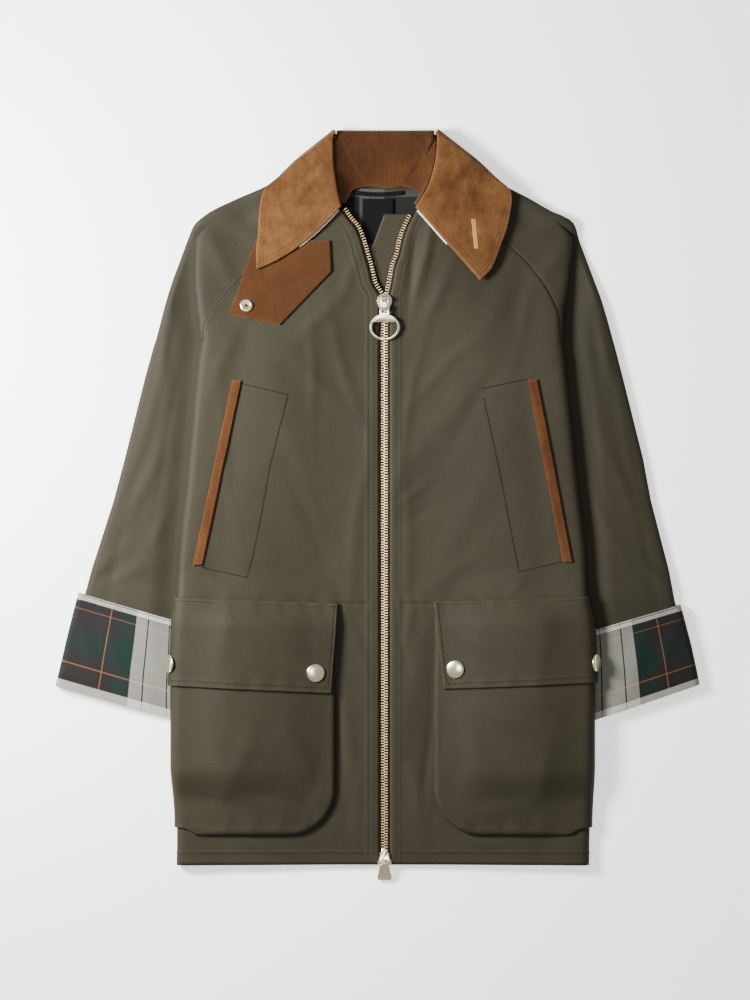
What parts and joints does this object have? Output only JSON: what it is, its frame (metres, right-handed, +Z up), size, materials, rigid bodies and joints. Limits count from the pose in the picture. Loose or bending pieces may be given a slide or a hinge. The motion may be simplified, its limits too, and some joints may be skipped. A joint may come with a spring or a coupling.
{
  "type": "waxed cotton jacket",
  "caption": "Waxed cotton jacket laid flat, raglan sleeves with turned-back check cuffs, cord collar, two-way front zip, bellows pockets with snapped flaps.",
  "frame": {"origin": "middle of the bounding box in plan, on the surface that the jacket lies on", "axes": "+Z up, away from the surface, the way the jacket's front faces; +Y from hem to collar; +X toward the jacket's own left-hand sleeve in a view from above, which is at the right of that view"},
  "size_m": [0.6104, 0.7116, 0.0278],
  "materials": {
    "waxed_cotton": "waxed, low sheen",
    "cuff_check": "woven check, matt",
    "needlecord": "fine ribbed cord, matt",
    "needlecord_inside": "fine ribbed cord, matt",
    "undercollar": "plain, matt",
    "neck_lining": "woven check, matt",
    "dark_label": "plain, matt",
    "zip_tape": "woven, matt",
    "zip_teeth": "bright",
    "brass": "pale, polished"
  },
  "bodies": {
    "jacket": {"front_left": "waxed_cotton", "front_right": "waxed_cotton", "back": "waxed_cotton", "sleeve_left": "waxed_cotton", "sleeve_right": "waxed_cotton", "bag_left": "waxed_cotton", "bag_right": "waxed_cotton", "flap_left": "waxed_cotton", "flap_right": "waxed_cotton", "wind_flap": "waxed_cotton", "cuff_left": "cuff_check", "cuff_right": "cuff_check", "collar_fall": "needlecord", "throat_tab": "needlecord", "welt_left": "needlecord", "welt_right": "needlecord", "collar_stand": "needlecord_inside", "undercollar_left": "undercollar", "undercollar_right": "undercollar", "neck_lining": "neck_lining", "label": "dark_label", "hanger_loop": "dark_label", "zip_tape_left": "zip_tape", "zip_tape_right": "zip_tape", "zip_chain_left": "zip_teeth", "zip_chain_right": "zip_teeth", "slider_top": "brass", "slider_bottom": "brass", "snap_left": "brass", "snap_right": "brass", "snap_left_side": "brass", "snap_right_side": "brass", "tab_snap": "brass"},
    "pull_ring": {"pull_ring": "brass"},
    "pull_bottom": {"pull_bottom": "brass"}
  },
  "joints": [
    {"name": "top_pull_swing", "type": "hinge", "parent": "jacket", "child": "pull_ring", "pos_m": [0.00665, 0.195, 0.01763], "axis": [-1, 0, 0], "range_deg": [0, 165]},
    {"name": "bottom_pull_swing", "type": "hinge", "parent": "jacket", "child": "pull_bottom", "pos_m": [0.00665, -0.3375, 0.01085], "axis": [-1, 0, 0], "range_deg": [0, 160]}
  ]
}
